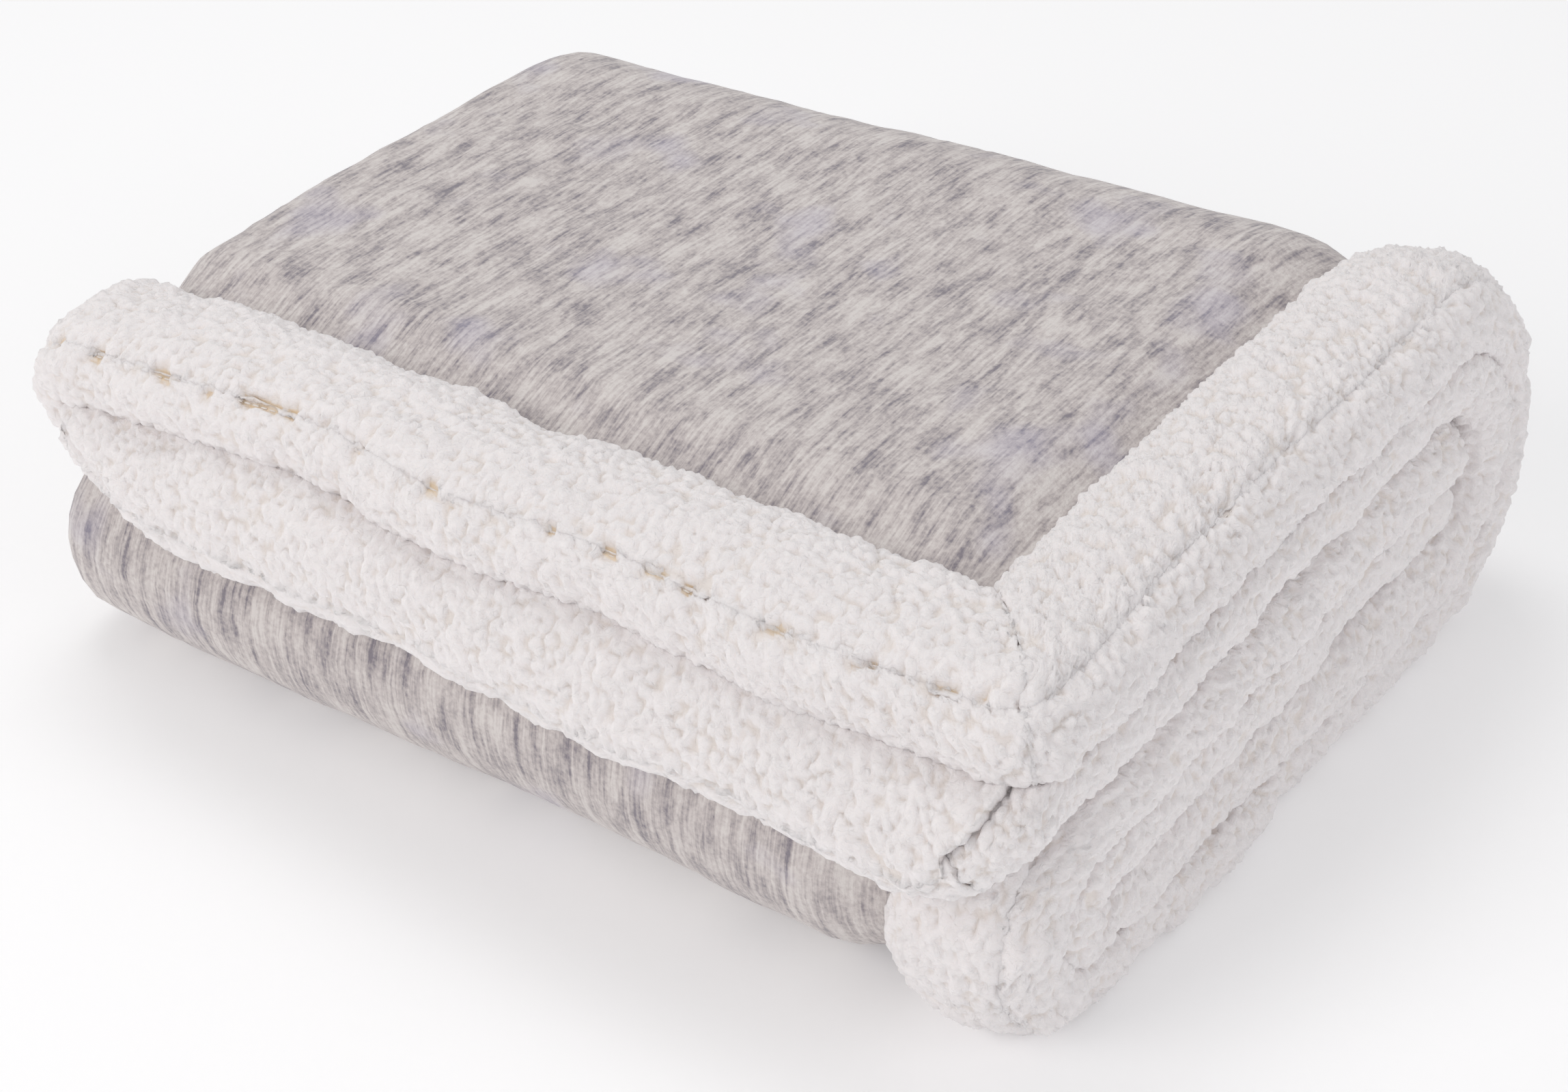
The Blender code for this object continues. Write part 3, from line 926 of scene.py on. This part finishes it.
class THROW_OT_stage(Operator):
    """Set the pale floor, the soft light and the camera"""
    bl_idname = "throw.stage"
    bl_label = "Stage"

    def execute(self, context):
        scene = context.scene
        finish, tree, shader = fabric("matte_studio_floor")
        shader["Base Color"].default_value = (*scene.throw_colours.floor, 1)
        shader["Roughness"].default_value = 0.9
        shader["Emission Color"].default_value = (1, 1, 1, 1)
        shader["Emission Strength"].default_value = 0.14
        shape = bmesh.new()
        bmesh.ops.create_grid(shape, x_segments=1, y_segments=1, size=6)
        mesh = bpy.data.meshes.new("studio_floor")
        shape.to_mesh(mesh)
        shape.free()
        mesh.materials.append(finish)
        floor = bpy.data.objects.new("studio_floor", mesh)
        scene.collection.objects.link(floor)
        world = bpy.data.worlds.new("studio")
        world.use_nodes = True
        world.node_tree.nodes["Background"].inputs["Color"].default_value = (1, 1, 1, 1)
        world.node_tree.nodes["Background"].inputs["Strength"].default_value = 0.55
        scene.world = world
        scene.view_settings.view_transform = "Standard"
        centre = (0, 0, 0.07)
        area_light("key_softbox", (-0.6, -1.7, 1.2), centre, 1.1, 11.5, (1, 0.975, 0.96))
        area_light("side_softbox", (1.6, 0.1, 0.8), centre, 1.0, 3.0, (0.97, 0.96, 1))
        area_light("top_softbox", (-0.5, 0.4, 1.9), centre, 1.0, 8, (1, 1, 1))
        camera = bpy.data.objects.new("camera", bpy.data.cameras.new("camera"))
        camera.data.lens = CAMERA_LENS
        camera.data.sensor_width = 36
        back = Vector((math.sin(CAMERA_AZIMUTH) * math.cos(CAMERA_ELEVATION),
                       -math.cos(CAMERA_AZIMUTH) * math.cos(CAMERA_ELEVATION),
                       math.sin(CAMERA_ELEVATION)))
        right = Vector((0, 0, 1)).cross(back).normalized()
        turn = Matrix((right, back.cross(right), back)).transposed().to_4x4()
        camera.matrix_world = (Matrix.Translation(CAMERA_PLACE) @ turn
                               @ Matrix.Rotation(CAMERA_ROLL, 4, "Z"))
        scene.collection.objects.link(camera)
        scene.camera = camera
        return {"FINISHED"}


class THROW_PT_panel(Panel):
    """The throw's pieces, sizes and colours"""
    bl_idname = "THROW_PT_panel"
    bl_label = "Folded throw"
    bl_space_type = "VIEW_3D"
    bl_region_type = "UI"
    bl_category = "Throw"

    def draw(self, context):
        for group in (context.scene.throw_sizes, context.scene.throw_colours):
            for name in group.__annotations__:
                self.layout.prop(group, name)
        for made in OPERATORS:
            self.layout.operator(made.bl_idname)


OPERATORS = (THROW_OT_velour, THROW_OT_sherpa, THROW_OT_overhang, THROW_OT_borders,
             THROW_OT_stitches, THROW_OT_label, THROW_OT_stage)
CLASSES = (ThrowSizes, ThrowColours, *OPERATORS, THROW_PT_panel)


def register():
    for made in CLASSES:
        bpy.utils.register_class(made)
    bpy.types.Scene.throw_sizes = PointerProperty(type=ThrowSizes)
    bpy.types.Scene.throw_colours = PointerProperty(type=ThrowColours)


def unregister():
    del bpy.types.Scene.throw_colours
    del bpy.types.Scene.throw_sizes
    for made in reversed(CLASSES):
        bpy.utils.unregister_class(made)


def main():
    register()
    bpy.ops.throw.velour()
    bpy.ops.throw.sherpa()
    bpy.ops.throw.overhang()
    bpy.ops.throw.borders()
    bpy.ops.throw.stitches()
    bpy.ops.throw.label()
    bpy.ops.throw.stage()


if __name__ == "__main__":
    main()
